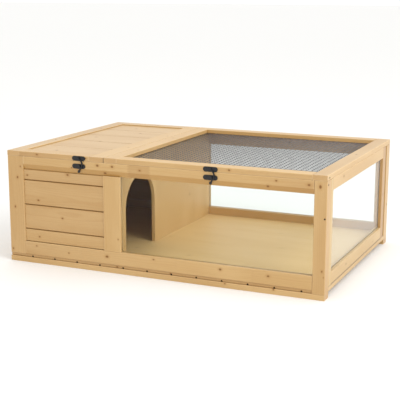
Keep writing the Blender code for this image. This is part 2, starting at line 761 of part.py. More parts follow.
def make_hook(name, black, pivot):
    """Cast hook: an eye round the pivot, an arm that passes under the keeper, and a ball to push."""
    middle = HOOK_BACK + HOOK_THICK / 2
    spine = hook_spine()
    ball_x, ball_z = spine[-1]
    mesh = sweep_outline(name, ribbon(spine, HOOK_WIDTH), "y", HOOK_THICK)
    mesh.transform(Matrix.Translation((0, -HOOK_FRONT, 0)))
    hook = bpy.data.objects.new(name, mesh)
    bpy.context.collection.objects.link(hook)
    mesh.materials.append(black)
    hook.parent = pivot
    eye_mesh = disc_mesh("eye", HOOK_EYE, HOOK_BACK, HOOK_FRONT)
    build = bmesh.new()
    bmesh.ops.create_uvsphere(build, u_segments=16, v_segments=10, radius=HOOK_BALL)
    bmesh.ops.scale(build, verts=build.verts, vec=(1, HOOK_BALL_DEPTH / HOOK_BALL, 1))
    bmesh.ops.translate(build, verts=build.verts, vec=(ball_x, -middle, ball_z))
    ball_mesh = bpy.data.meshes.new("ball")
    build.to_mesh(ball_mesh)
    build.free()
    hole_mesh = disc_mesh("hole", PIVOT + FIT, HOOK_BACK - OVERRUN, HOOK_FRONT + OVERRUN)
    extras = []
    for part, part_mesh in (("eye", eye_mesh), ("ball", ball_mesh), ("hole", hole_mesh)):
        extra = bpy.data.objects.new(name + "_" + part, part_mesh)
        bpy.context.collection.objects.link(extra)
        extra.parent = pivot
        extras.append(extra)
    for item in (hook, *extras):
        rounded(item)
    union_all(hook, extras[:2])
    cut_from(hook, extras[2])


def make_latches(black, left_lid, right_lid):
    for side, centre_x, lid in (("left", LATCH_LEFT, left_lid), ("right", LATCH_RIGHT, right_lid)):
        make_plate(side + "_latch_plate", centre_x, PIVOT_Z, PIVOT, PIVOT_HEAD, black, lid)
        keeper_z = PIVOT_Z - KEEPER_DROP
        make_plate(side + "_keeper_plate", centre_x, keeper_z, KEEPER, KEEPER_HEAD, black, None)
        pivot = empty(side + "_hook_pivot", place(centre_x, 0, PIVOT_Z), lid)
        make_hook(side + "_hook", black, pivot)


def empty(name, location, parent=None):
    item = bpy.data.objects.new(name, None)
    bpy.context.collection.objects.link(item)
    if parent is not None:
        item.parent = parent
        location = tuple(a - b for a, b in zip(location, parent.location))
    item.location = location
    return item


clear_scene()

frame_wood = make_material("fir_frame", (0.72, 0.48, 0.23), 0.55)
sheet_wood = make_material("fir_boards", (0.75, 0.52, 0.27), 0.6)
floor_wood = make_material("fir_floor", (0.70, 0.47, 0.25), 0.6)
acrylic = make_material("clear_acrylic", (0.9, 0.93, 0.93), 0.05, alpha=0.25, transmission=0.8)
net_steel = make_material("dark_net_wire", (0.08, 0.08, 0.085), 0.45, metallic=0.8)
black_metal = make_material("black_painted_metal", (0.015, 0.015, 0.016), 0.4, metallic=0.3)
hinge_steel = make_material("zinc_hinge_steel", (0.55, 0.55, 0.53), 0.35, metallic=0.9)

left_lid_axis = empty("left_lid_axis", place(LEFT_LID_LENGTH / 2, HINGE_Y, HINGE_Z))
right_lid_axis = empty("right_lid_axis", place((RIGHT_LID_START + HOUSE_LENGTH) / 2, HINGE_Y, HINGE_Z))

make_long_wall("front", frame_wood, sheet_wood, acrylic)
make_long_wall("back", frame_wood, sheet_wood, acrylic)
make_run_end(frame_wood, acrylic)
make_hide_end(frame_wood, sheet_wood)
make_floor(floor_wood)
make_divider(sheet_wood)
make_left_lid(frame_wood, sheet_wood, left_lid_axis)
make_right_lid(frame_wood, net_steel, right_lid_axis)
make_hinges(hinge_steel, left_lid_axis, right_lid_axis)
make_latches(black_metal, left_lid_axis, right_lid_axis)
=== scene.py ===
import math

import bmesh
import bpy
from mathutils import Matrix, Vector


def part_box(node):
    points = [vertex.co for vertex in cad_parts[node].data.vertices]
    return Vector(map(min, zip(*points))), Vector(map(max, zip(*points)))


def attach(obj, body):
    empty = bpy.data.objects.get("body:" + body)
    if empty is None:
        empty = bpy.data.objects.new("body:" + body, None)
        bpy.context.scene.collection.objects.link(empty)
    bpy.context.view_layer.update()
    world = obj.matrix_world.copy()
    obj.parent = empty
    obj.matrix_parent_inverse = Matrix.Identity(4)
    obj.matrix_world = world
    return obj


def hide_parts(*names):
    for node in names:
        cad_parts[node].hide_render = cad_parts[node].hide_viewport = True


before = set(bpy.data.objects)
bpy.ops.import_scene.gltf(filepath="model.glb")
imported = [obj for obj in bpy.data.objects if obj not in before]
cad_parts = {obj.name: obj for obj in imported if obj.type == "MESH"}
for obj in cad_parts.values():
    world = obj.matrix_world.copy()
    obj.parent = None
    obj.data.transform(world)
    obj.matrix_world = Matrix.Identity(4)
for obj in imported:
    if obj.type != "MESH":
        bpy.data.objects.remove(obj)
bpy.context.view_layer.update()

# The camera stands to the right of the front and a little above the lids, where the house was
# photographed from. Its lens is long, so that the upright timbers stay nearly parallel.
FRAME_PIXELS = 400
FOCAL_PIXELS = 981.0
SENSOR_WIDTH = 36.0
CAMERA_PLACE = (1.1219, -2.5504, 0.7557)
CAMERA_TURN = math.radians(24.064)
CAMERA_DROP = math.radians(12.228)
CAMERA_LEAN = math.radians(0.075)
camera_data = bpy.data.cameras.new("studio_camera")
camera = bpy.data.objects.new("studio_camera", camera_data)
bpy.context.scene.collection.objects.link(camera)
camera_data.sensor_width = SENSOR_WIDTH
camera_data.lens = FOCAL_PIXELS / FRAME_PIXELS * SENSOR_WIDTH
ahead = Vector((
    -math.sin(CAMERA_TURN) * math.cos(CAMERA_DROP),
    math.cos(CAMERA_TURN) * math.cos(CAMERA_DROP),
    -math.sin(CAMERA_DROP),
))
level = ahead.cross(Vector((0, 0, 1))).normalized()
upright = level.cross(ahead)
right = level * math.cos(CAMERA_LEAN) + upright * math.sin(CAMERA_LEAN)
above = upright * math.cos(CAMERA_LEAN) - level * math.sin(CAMERA_LEAN)
stand = Matrix((right, above, -ahead)).transposed().to_4x4()
stand.translation = CAMERA_PLACE
camera.matrix_world = stand
bpy.context.scene.camera = camera

# The studio: a wide pale floor in an even white surround, and one large soft lamp high on the right,
# so that the right end and the lids are a little brighter than the front.
SURROUND_COLOUR = (1.0, 0.995, 0.985, 1.0)
SURROUND_STRENGTH = 1.05
FLOOR_REACH = 40.0
FLOOR_CELLS = 8
FLOOR_COLOUR = (0.93, 0.93, 0.92, 1)
FLOOR_ROUGHNESS = 0.8
LAMP_SIZE = 2.4
LAMP_WATTS = 72.0
LAMP_PLACE = (3.2, -1.2, 2.9)
LAMP_AIM = Vector((0, 0, 0.15))
bpy.context.scene.view_settings.view_transform = "Standard"
world = bpy.data.worlds.new("studio_surround")
bpy.context.scene.world = world
world.use_nodes = True
surround = world.node_tree.nodes["Background"]
surround.inputs["Color"].default_value = SURROUND_COLOUR
surround.inputs["Strength"].default_value = SURROUND_STRENGTH

floor_build = bmesh.new()
bmesh.ops.create_grid(floor_build, x_segments=FLOOR_CELLS, y_segments=FLOOR_CELLS, size=FLOOR_REACH)
floor_mesh = bpy.data.meshes.new("studio_floor")
floor_build.to_mesh(floor_mesh)
floor_build.free()
studio_floor = bpy.data.objects.new("studio_floor", floor_mesh)
bpy.context.scene.collection.objects.link(studio_floor)
floor_look = bpy.data.materials.new("studio_floor")
floor_look.use_nodes = True
floor_shader = floor_look.node_tree.nodes["Principled BSDF"]
floor_shader.inputs["Base Color"].default_value = FLOOR_COLOUR
floor_shader.inputs["Roughness"].default_value = FLOOR_ROUGHNESS
floor_mesh.materials.append(floor_look)

lamp_data = bpy.data.lights.new("soft_key", "AREA")
lamp_data.shape = "DISK"
lamp_data.size = LAMP_SIZE
lamp_data.energy = LAMP_WATTS
lamp = bpy.data.objects.new("soft_key", lamp_data)
lamp.location = LAMP_PLACE
lamp.rotation_euler = (LAMP_AIM - lamp.location).to_track_quat("-Z", "Y").to_euler()
bpy.context.scene.collection.objects.link(lamp)


# Skids and shadow strips: planed fir laths under the long walls, clear varnished as all the timber
# is. The floor lies on the shadow strips, which are set back a little and nailed from outside.
class Value:
    """A number or colour that varies over a surface. Sums with it become Math nodes."""

    def __init__(self, sheet, socket):
        self.sheet = sheet
        self.socket = socket

    def __add__(self, other):
        return self.sheet.maths("ADD", self, other)

    def __radd__(self, other):
        return self.sheet.maths("ADD", other, self)

    def __sub__(self, other):
        return self.sheet.maths("SUBTRACT", self, other)

    def __rsub__(self, other):
        return self.sheet.maths("SUBTRACT", other, self)

    def __mul__(self, other):
        return self.sheet.maths("MULTIPLY", self, other)

    def __rmul__(self, other):
        return self.sheet.maths("MULTIPLY", other, self)

    def __truediv__(self, other):
        return self.sheet.maths("DIVIDE", self, other)


class Sheet:
    """The nodes of one finish. A Value or a number can be put into any of its sockets."""

    def __init__(self, name):
        self.finish = bpy.data.materials.new(name)
        self.finish.use_nodes = True
        self.tree = self.finish.node_tree
        self.shader = self.tree.nodes["Principled BSDF"]

    def put(self, socket, value):
        """Link a value to a socket, or set the socket to a constant."""
        if isinstance(value, Value):
            self.tree.links.new(value.socket, socket)
        elif socket.type == "RGBA":
            socket.default_value = (*value[:3], 1.0)
        else:
            socket.default_value = value

    def node(self, kind, settings, inputs, outlet=0):
        """Add a node with its settings and inputs. Stops are a ramp's places and grey levels."""
        item = self.tree.nodes.new("ShaderNode" + kind)
        for key, value in settings.items():
            if key == "stops":
                while len(item.color_ramp.elements) < len(value):
                    item.color_ramp.elements.new(1.0)
                for stop, (where, level) in zip(item.color_ramp.elements, value):
                    stop.position = where
                    stop.color = (level, level, level, 1.0)
            else:
                setattr(item, key, value)
        for key, value in inputs.items():
            self.put(item.inputs[key], value)
        return Value(self, item.outputs[outlet])

    def maths(self, operation, *values):
        """A Math node on up to three values."""
        return self.node("Math", {"operation": operation}, dict(enumerate(values)))

    def step(self, value, low, high):
        """Goes smoothly from 0 at low to 1 at high."""
        ends = {"Value": value, "From Min": low, "From Max": high}
        return self.node("MapRange", {"interpolation_type": "SMOOTHSTEP"}, ends)

    def blend(self, share, first, second):
        """Colour that goes from first to second by a share."""
        return self.node("Mix", {"data_type": "RGBA"}, {0: share, 6: first, 7: second}, 2)

    def place(self):
        """Object coordinates, in metres from the house's middle."""
        return self.node("TexCoord", {}, {}, "Object")

    def parts(self, vector):
        """The three numbers of a vector."""
        outputs = self.node("SeparateXYZ", {}, {0: vector}).socket.node.outputs
        return [Value(self, output) for output in outputs]

    def spread(self, centre, scale):
        """Object coordinates counted from a centre and stretched."""
        shift = tuple(-c * s for c, s in zip(centre, scale))
        inputs = {"Vector": self.place(), "Location": shift, "Scale": tuple(scale)}
        return self.node("Mapping", {}, inputs)

    def cloud(self, vector, detail):
        """Noise on a vector that already has its scale."""
        return self.node("TexNoise", {}, {"Vector": vector, "Scale": 1.0, "Detail": detail})

    def grit(self, fineness, detail):
        """Even or brushed noise over a whole piece, with its fineness along each axis."""
        return self.cloud(self.spread((0, 0, 0), fineness), detail)

    def bumps(self, height, depth, strength):
        """A normal that shows a height as bumps."""
        return self.node("Bump", {}, {"Height": height, "Distance": depth, "Strength": strength})

    def most(self, values):
        """The largest of some values, or zero where there are none."""
        largest = values[0] if values else 0.0
        for value in values[1:]:
            largest = self.maths("MAXIMUM", largest, value)
        return largest

    def length(self, vector):
        """The distance of a point from its vector's zero."""
        return self.node("VectorMath", {"operation": "LENGTH"}, {0: vector}, "Value")

    def set(self, **values):
        """Put values into the shader's sockets."""
        for key, value in values.items():
            self.put(self.shader.inputs[key.replace("_", " ")], value)

    def dress(self, node):
        """Give a CAD node this finish."""
        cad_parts[node].data.materials.clear()
        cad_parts[node].data.materials.append(self.finish)


MM = 0.001
HOUSE_LENGTH = 920
HOUSE_DEPTH = 635
CORNER = (HOUSE_LENGTH / 2, HOUSE_DEPTH / 2, 0)


def from_corner(x, y, z):
    """Place of a point measured in millimetres from the left end, the front and the ground."""
    return Vector(((x - CORNER[0]) * MM, (y - CORNER[1]) * MM, z * MM))


def edge_distance(sheet, low, high):
    """Millimetres from a point of a squared timber's surface to its nearest arris."""
    gaps = []
    for k, along in enumerate(sheet.parts(sheet.place())):
        gaps.append(sheet.maths("MINIMUM", along - low[k], high[k] - along))
    nearer = sheet.maths("MINIMUM", gaps[0], gaps[1])
    farther = sheet.maths("MAXIMUM", gaps[0], gaps[1])
    return sheet.maths("MAXIMUM", nearer, sheet.maths("MINIMUM", farther, gaps[2])) / MM


KNOT_LENGTH_SHARE = 1.35
KNOT_CORE_SHARES = (0.6, 1.7)
KNOT_HALO_SHARES = (0.7, 4.2)
KNOT_RAGGED_SHARE = 1.3
KNOT_PUSH_SHARE = 1.9


def knot_marks(sheet, knots, grain, ragged, radius):
    """Dark cores and warm halos of the knots, and the radius of the year rings that pass them."""
    cores = []
    halos = []
    for through, first, second, size in knots:
        hidden = "xyz".index(through)
        spots = iter((first, second))
        spot = from_corner(*(0 if k == hidden else next(spots) for k in range(3)))
        scale = [1 / MM] * 3
        scale[grain] /= KNOT_LENGTH_SHARE
        scale[hidden] = 0.0
        uneven = (ragged - 0.5) * (size * KNOT_RAGGED_SHARE)
        distance = sheet.length(sheet.spread(spot, scale)) + uneven
        halos.append(1 - sheet.step(distance, *(share * size for share in KNOT_HALO_SHARES)))
        cores.append(1 - sheet.step(distance, *(share * size for share in KNOT_CORE_SHARES)))
        radius = radius + halos[-1] * (size * KNOT_PUSH_SHARE)
    return sheet.most(cores), sheet.most(halos), radius


FINGER_HALF = 2.2
FINGER_SLOPE = 3.2
CUT_SOFTNESS = 0.2
GLUE_REACH = (0.1, 0.5)
NEXT_LOG = 23.7


def finger_joints(sheet, joints, grain, side_axis, radius):
    """Zigzag glue lines, how much darker the next lengths are, and the radius in each one's log."""
    if not joints:
        return 0.0, 0.0, radius
    darker = 0.0
    lines = []
    places = sheet.parts(sheet.place())
    side = places[side_axis] / MM
    fingers = places[grain] / MM + sheet.maths("PINGPONG", side, FINGER_HALF) * FINGER_SLOPE
    before = 0.0
    for where, level in joints:
        start = where - CORNER[grain]
        past = sheet.step(fingers, start - CUT_SOFTNESS, start + CUT_SOFTNESS)
        radius = radius + past * NEXT_LOG
        darker = darker + past * (level - before)
        before = level
        lines.append(1 - sheet.step(sheet.maths("ABSOLUTE", fingers - start), *GLUE_REACH))
    return sheet.most(lines), darker, radius


RING_WIDTH = 2.7
LATE_WOOD_RAMP = ((0.0, 0.5), (0.07, 0.0), (0.55, 0.12), (0.86, 0.9), (0.95, 1.0), (1.0, 0.5))


def year_rings(sheet, radius):
    """The dark late wood of each year's ring, stronger in some years than in others."""
    year = radius / RING_WIDTH
    late = sheet.node("ValToRGB", {"stops": LATE_WOOD_RAMP}, {0: sheet.maths("FRACT", year)})
    number = {"W": sheet.maths("FLOOR", year)}
    strong = sheet.node("TexWhiteNoise", {"noise_dimensions": "1D"}, number, "Value")
    return late * (strong * 0.6 + 0.4)


SIDE_SHADE_CORE_SHARE = 0.6


def painted_side_shade(sheet, axis, side, width, low, high):
    """How much painted shade darkens one side of a piece, in a joint, seam or recess."""
    k = "xyz".index(axis)
    along = sheet.parts(sheet.place())[k]
    gap = (along - low[k] if side == "low" else high[k] - along) / MM
    return 1 - sheet.step(gap, width * SIDE_SHADE_CORE_SHARE, width)


def painted_shade_along(sheet, painted_shade_stops, grain, low, high):
    """How much painted shade darkens a piece between places along its grain."""
    length = high[grain] - low[grain]
    along = (sheet.parts(sheet.place())[grain] - low[grain]) / length
    start = low[grain] / MM + CORNER[grain]
    stops = [((where - start) / (length / MM), level) for where, level in painted_shade_stops]
    return sheet.node("ValToRGB", {"stops": stops}, {0: along})


LOG_START = 0.25
LOG_STEP = 0.004
LOG_TAPER = 0.02
# How fine each noise is along and across the grain.
SLOW_GRAIN = (5, 26)
QUICK_GRAIN = (28, 150)
FIBRE_GRAIN = (70, 2300)
MOTTLE_GRAIN = (3.5, 17)
SLOW_WAVE = 9
QUICK_WAVE = 1.1
VARNISH = 0.50
VARNISH_ROUGHNESS = 0.30
BARE_VARNISH = 0.08
# Shares of wear and painted highlight on the arrises.
SEAM_ARRIS_WEAR_AND_HIGHLIGHT = 0.62
PLAIN_ARRIS = 0.22
PALE_FIR = (0.610, 0.398, 0.163)
WARM_FIR = (0.557, 0.346, 0.128)
LATE_WOOD = (0.46, 0.238, 0.070)
DARK_FIBRE = (0.48, 0.270, 0.092)
PALE_FIBRE = (0.72, 0.50, 0.25)
# Colour of wear and painted highlight on the arrises.
ARRIS_WEAR_AND_HIGHLIGHT = (0.74, 0.53, 0.27)
END_GRAIN = (0.42, 0.225, 0.078)
# Colour of the painted shade on faces that look down.
BEVEL_SHADE = (0.39, 0.174, 0.003)
KNOT_HALO = (0.44, 0.228, 0.052)
KNOT_CORE = (0.175, 0.064, 0.001)
DARK_LENGTH = (0.29, 0.115, 0.010)
GLUE_LINE = (0.27, 0.135, 0.045)
# Colour of painted shade with some gathered varnish in the V grooves.
GROOVE_SHADE_AND_VARNISH = (0.22, 0.098, 0.020)
# Colour of the painted shade in joints, seams and recesses.
SIDE_SHADE_PAINT = (0.13, 0.060, 0.016)
# Paler colour of unvarnished fir that is also painted light inside the house.
BARE_AND_LIT_FIR = (1.0, 0.735, 0.335)
DEEP_FIR = (0.25, 0.08, 0.0)
FAINT_FIR = (0.62, 0.80, 0.50)
# Colour of the painted light on upper faces.
LIT_FIR = (0.76, 0.46, 0.120)


def timber(
    node, run, heart, shade=1.0, knots=(), joints=(), grooved=False,
    painted_shade_sides=(), bare_and_lit=0.0, painted_shade_stops=(), lit=0.0, painted_underside_shade=0.0,
):
    """Varnished fir for one piece: year rings round a log's heart, fibres, knots and finger joints.

    run is the axis of the grain, heart the log's middle across it, in millimetres from the piece's
    own middle. Shade is 1 for the common tone, less for deeper and more for paler timber. A knot is
    (axis it goes through, two places in millimetres from the corner, size). A joint is (place along
    the grain, how dark the next length is). Painted shade darkens the V grooves between grooved
    boards, where some varnish gathers too, and given sides of a piece: (axis, side, millimetres,
    share). Unvarnished timber is paler by its share, partly for that and partly as painted light
    inside the house, and has hardly any varnish. Stops of painted shade, (place along the grain,
    share), say how dark the upright faces are there. Painted light brightens the upper face by one
    share, and painted shade darkens a face that looks down by another.
    """
    sheet = Sheet("fir_" + node)
    low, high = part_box(node)
    middle = (low + high) / 2
    grain = "xyz".index(run)
    across = [k for k in range(3) if k != grain]
    seed = sum(ord(letter) * (i + 3) for i, letter in enumerate(node)) % 97

    def stretched(fineness, shift=0.0):
        scale = [fineness[1]] * 3
        scale[grain] = fineness[0]
        centre = [c + shift + seed * 0.31 for c in middle]
        return sheet.spread(centre, scale)

    log = middle.copy()
    log[grain] = low[grain] - LOG_START - LOG_STEP * seed
    for k, offset in zip(across, heart):
        log[k] += offset * MM
    taper = [1 / MM] * 3
    taper[grain] = LOG_TAPER / MM
    slow = sheet.cloud(stretched(SLOW_GRAIN), 1.0)
    quick = sheet.cloud(stretched(QUICK_GRAIN, 0.7), 2.0)
    radius = sheet.length(sheet.spread(log, taper)) + slow * SLOW_WAVE + quick * QUICK_WAVE
    core, halo, radius = knot_marks(sheet, knots, grain, quick, radius)
    glue, darker, radius = finger_joints(sheet, joints, grain, across[-1], radius)
    late = year_rings(sheet, radius)
    fibre = sheet.cloud(stretched(FIBRE_GRAIN, 1.3), 3.0)
    mottle = sheet.cloud(stretched(MOTTLE_GRAIN, 2.1), 2.0)
    edge = edge_distance(sheet, low, high)
    wear_and_highlight = 1 - sheet.step(edge + (quick - 0.5) * 2.0, 0.5, 2.2)
    normal = sheet.parts(sheet.node("TexCoord", {}, {}, "Normal"))
    upward = normal[2]
    facing = [sheet.maths("ABSOLUTE", part) for part in normal]
    end_grain = sheet.step(facing[grain], 0.75, 0.95)

    # Arrises are paler for wear and as painted highlight. On rails along the lid seams, which hands and
    # lids rub on, the painted highlight is stronger, set against the shade in the seams.
    seam_rail = node.endswith(("_top_rail", "_front_rail", "_right_rail", "_left_rail"))
    colour = sheet.blend(sheet.step(mottle, 0.35, 0.65), PALE_FIR, WARM_FIR)
    colour = sheet.blend(late * 0.36, colour, LATE_WOOD)
    colour = sheet.blend(sheet.step(fibre, 0.5, 0.8) * 0.22, colour, DARK_FIBRE)
    colour = sheet.blend(sheet.step(fibre, 0.45, 0.2) * 0.20, colour, PALE_FIBRE)
    colour = sheet.blend(wear_and_highlight * (SEAM_ARRIS_WEAR_AND_HIGHLIGHT if seam_rail else PLAIN_ARRIS), colour, ARRIS_WEAR_AND_HIGHLIGHT)
    colour = sheet.blend(end_grain * 0.45, colour, END_GRAIN)
    # Painted shade: faces that look down, such as the chamfer under the front top rail, are darkened.
    if painted_underside_shade:
        colour = sheet.blend(sheet.step(upward, -0.2, -0.34) * painted_underside_shade, colour, BEVEL_SHADE)
    if knots:
        colour = sheet.blend(halo * 0.55, colour, KNOT_HALO)
        colour = sheet.blend(core * 0.90, colour, KNOT_CORE)
    if joints:
        colour = sheet.blend(darker, colour, DARK_LENGTH)
        colour = sheet.blend(glue * 0.35, colour, GLUE_LINE)
    # Painted shade on the slanted faces of the V grooves, with some varnish gathered there.
    if grooved:
        slant = 1 - sheet.step(facing[across[0]], 0.9, 0.98)
        slant = slant * (1 - sheet.step(facing[across[1]], 0.9, 0.98)) * (1 - end_grain)
        colour = sheet.blend(slant * 0.50, colour, GROOVE_SHADE_AND_VARNISH)
    # Painted shade along given sides, in the joints, seams and recesses beside them.
    for axis, side, width, share in painted_shade_sides:
        colour = sheet.blend(painted_side_shade(sheet, axis, side, width, low, high) * share, colour, SIDE_SHADE_PAINT)
    # Paler, partly as unvarnished fir and partly as painted light inside the house.
    if bare_and_lit:
        colour = sheet.blend(bare_and_lit, colour, BARE_AND_LIT_FIR)
    if shade < 1:
        colour = sheet.blend((1 - shade) * 1.5, colour, DEEP_FIR)
    elif shade > 1:
        colour = sheet.blend(shade - 1, colour, FAINT_FIR)
    # Painted shade on the upright faces, darker at given places along the grain.
    if painted_shade_stops:
        tone = painted_shade_along(sheet, painted_shade_stops, grain, low, high)
        colour = sheet.blend(tone * (1 - sheet.step(upward, 0.3, 0.6)), colour, DEEP_FIR)
    # Painted light: the upper face is made paler.
    if lit:
        colour = sheet.blend(sheet.step(upward, 0.6, 0.9) * lit, colour, LIT_FIR)
    height = late * -0.05 + fibre * 0.045
    if knots:
        height = height - core * 0.06
    sheet.set(
        Base_Color=colour,
        Roughness=late * 0.10 + mottle * 0.12 + 0.46,
        Coat_Weight=BARE_VARNISH if bare_and_lit else VARNISH - core * 0.35,
        Coat_Roughness=VARNISH_ROUGHNESS,
        Normal=sheet.bumps(height, MM, 0.8),
    )
    sheet.dress(node)


def add_piece(name, build, sheet, body):
    """Close a new piece's mesh, give it its finish and let it ride on its body."""
    bmesh.ops.recalc_face_normals(build, faces=build.faces)
    mesh = bpy.data.meshes.new(name)
    build.to_mesh(mesh)
    build.free()
    mesh.materials.append(sheet.finish)
    piece = bpy.data.objects.new(name, mesh)
    bpy.context.scene.collection.objects.link(piece)
    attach(piece, body)
    return piece


STRIP_NAIL = 0.0031
FRAME_NAIL = 0.0028
NAIL_DEPTH = 0.0010
NAIL_PROUD = 0.0004
NAIL_CROWN_SHARE = 0.72
NAIL_SIDES = 10
NAIL_BLACK = (0.016, 0.005, 0.001)
NAIL_BROWN = (0.034, 0.012, 0.002)
FORWARD = Vector((0, -1, 0))
BACKWARD = Vector((0, 1, 0))
RIGHTWARD = Vector((1, 0, 0))
nail_sheet = Sheet("nail_steel")
tarnish = nail_sheet.grit((900, 900, 900), 2.0)
nail_sheet.set(
    Base_Color=nail_sheet.blend(nail_sheet.step(tarnish, 0.35, 0.65), NAIL_BLACK, NAIL_BROWN),
    Roughness=tarnish * 0.3 + 0.55,
    Specular_IOR_Level=0.15,
    Normal=nail_sheet.bumps(tarnish, 0.0001, 0.6),
)


def nail_heads(name, places, outward, body, radius):
    """Wire nails driven home: domed round heads that stand a hair proud of the timber."""
    build = bmesh.new()
    crown = radius * NAIL_CROWN_SHARE
    for place in places:
        head = bmesh.ops.create_cone(
            build, cap_ends=True, segments=NAIL_SIDES, radius1=radius, radius2=crown, depth=NAIL_DEPTH
        )
        turn = Vector((0, 0, 1)).rotation_difference(outward).to_matrix().to_4x4()
        sunk = place + outward * (NAIL_PROUD - NAIL_DEPTH / 2)
        bmesh.ops.transform(build, matrix=Matrix.Translation(sunk) @ turn, verts=head["verts"])
    add_piece(name, build, nail_sheet, body)


STRIP_NAILS = 12
FIRST_STRIP_NAIL = 70
STRIP_NAIL_STEP = 71.8
STRIP_NAIL_HEIGHT = 17.2
for strip_side, strip_outward in (("front", FORWARD), ("back", BACKWARD)):
    strip_low, strip_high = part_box(strip_side + "_shadow_strip")
    strip_nails = []
    for number in range(STRIP_NAILS):
        strip_nail = from_corner(FIRST_STRIP_NAIL + number * STRIP_NAIL_STEP, 0, STRIP_NAIL_HEIGHT)
        strip_nail.y = strip_low.y if strip_side == "front" else strip_high.y
        strip_nails.append(strip_nail)
    nail_heads(strip_side + "_strip_nails", strip_nails, strip_outward, "house", STRIP_NAIL)

timber(
    "front_skid", "x", heart=(9, -52), shade=0.97,
    knots=[("y", 787, 13, 1.6), ("y", 655, 12, 1.2)],
    joints=[(402, 0.05), (655, 0.0)],
)
timber(
    "back_skid", "x", heart=(-14, -60), shade=0.98,
    knots=[("y", 240, 8, 1.5)],
    joints=[(310, 0.04), (590, 0.01)],
)
timber(
    "front_shadow_strip", "x", heart=(20, -38), shade=0.88,
    knots=[("y", 498, 19, 1.2), ("y", 339, 18, 1.6)],
)
timber("back_shadow_strip", "x", heart=(-22, -30), shade=0.88)

# Long walls: stiles, rails and corner posts, glued up from finger jointed lengths, then glued and
# nailed together. Every piece comes from its own log. The front top rail has one darker length.
timber(
    "front_hide_stile", "z", heart=(-12, 48), shade=0.91,
    knots=[
        ("y", 30.9, 240.9, 2.0), ("y", 19.6, 156.6, 1.9), ("y", 7.7, 34.7, 1.7),
        ("y", 41, 272, 1.4),
    ],
)
timber(
    "back_hide_stile", "z", heart=(16, -44), shade=0.99,
    knots=[("y", 28, 96, 2.2), ("y", 15, 214, 1.5)],
)
timber(
    "front_top_rail", "x", heart=(58, -22), painted_underside_shade=0.50,
    knots=[
        ("y", 285.6, 292.6, 2.2), ("y", 330.0, 292.2, 2.2), ("y", 307.6, 273.3, 2.6),
        ("y", 412.2, 288.5, 1.9), ("y", 789.6, 292.2, 1.5), ("y", 767.5, 276.3, 2.4),
        ("y", 873.9, 288.4, 2.4), ("y", 205.8, 280.5, 1.4),
    ],
    joints=[(60, 0.03), (381, 0.27), (444, 0.0), (700, 0.02)],
    painted_shade_stops=((720, 0.0), (870, 0.19)),
)
timber(
    "back_top_rail", "x", heart=(-50, 18),
    knots=[("y", 198, 281, 2.1), ("y", 612, 288, 1.7)],
    joints=[(330, 0.05), (640, 0.0)],
)
timber(
    "front_bottom_rail", "x", heart=(40, 30),
    knots=[
        ("y", 309.9, 44.8, 2.4), ("y", 450.4, 52.4, 1.4), ("y", 641.6, 48.1, 2.0),
        ("y", 772.4, 46.6, 2.2), ("y", 86, 50, 1.4), ("y", 190, 41, 1.2),
    ],
    joints=[(232, 0.03), (520, 0.0), (733, 0.04)],
    painted_shade_stops=((60, 0.20), (480, 0.01)),
)
timber(
    "back_bottom_rail", "x", heart=(-36, 26), shade=0.99,
    knots=[("y", 150, 42, 2.2), ("y", 702, 47, 2.0)],
    joints=[(420, 0.04)],
)
timber("front_middle_stile", "z", heart=(-34, 36), shade=0.99, knots=[("y", 345, 96, 1.2)])
timber("back_middle_stile", "z", heart=(24, -40), knots=[("y", 318, 190, 1.8)])
timber(
    "front_corner_post", "z", heart=(-30, 30), shade=0.90,
    knots=[("y", 902.1, 286.1, 2.4), ("y", 911.8, 75.2, 1.6), ("y", 916.4, 60.3, 0.8)],
)
timber(
    "back_corner_post", "z", heart=(28, -34), shade=0.98,
    knots=[("x", 622, 120, 2.0), ("y", 905, 205, 1.8)],
)
front_post_nail = from_corner(915.5, 0, 207.3)
side_post_nail = from_corner(HOUSE_LENGTH, 10, 290.7)
nail_heads("front_post_nails", [front_post_nail], FORWARD, "house", FRAME_NAIL)
nail_heads("front_post_side_nails", [side_post_nail], RIGHTWARD, "house", FRAME_NAIL)

# Hide boards: tongued and grooved fir slid between the stiles, a ripped one at the bottom and a cut
# one at the top. The back and the left end have the same boards, glued into one panel.
BOARD_SHADE = 0.935
for board_number, (board_heart, board_shade, board_knots) in enumerate((
    ((-40, -22), 0.995, [("y", 94.7, 76.4, 1.6)]),
    ((-46, 18), 0.925, [("y", 170.7, 136.2, 1.7)]),
    ((-38, -12), 0.93, [("y", 94.7, 180.4, 1.8), ("y", 58.0, 165.0, 1.5)]),
    ((-52, 26), 0.900, [("y", 190.6, 259.1, 2.4), ("y", 61.1, 248.6, 1.7)]),
), 1):
    board = "front_hide_board_%d" % board_number
    timber(board, "x", board_heart, board_shade * BOARD_SHADE, board_knots, grooved=True)
timber(
    "back_hide_boards", "x", heart=(44, -60), shade=0.96, grooved=True,
    knots=[("y", 120, 150, 2.6), ("y", 238, 82, 2.0), ("y", 90, 222, 1.8)],
)
timber(
    "hide_end_boards", "y", heart=(48, 66), shade=0.96, grooved=True,
    knots=[("x", 180, 104, 2.8), ("x", 402, 178, 2.4), ("x", 300, 236, 1.8)],
)

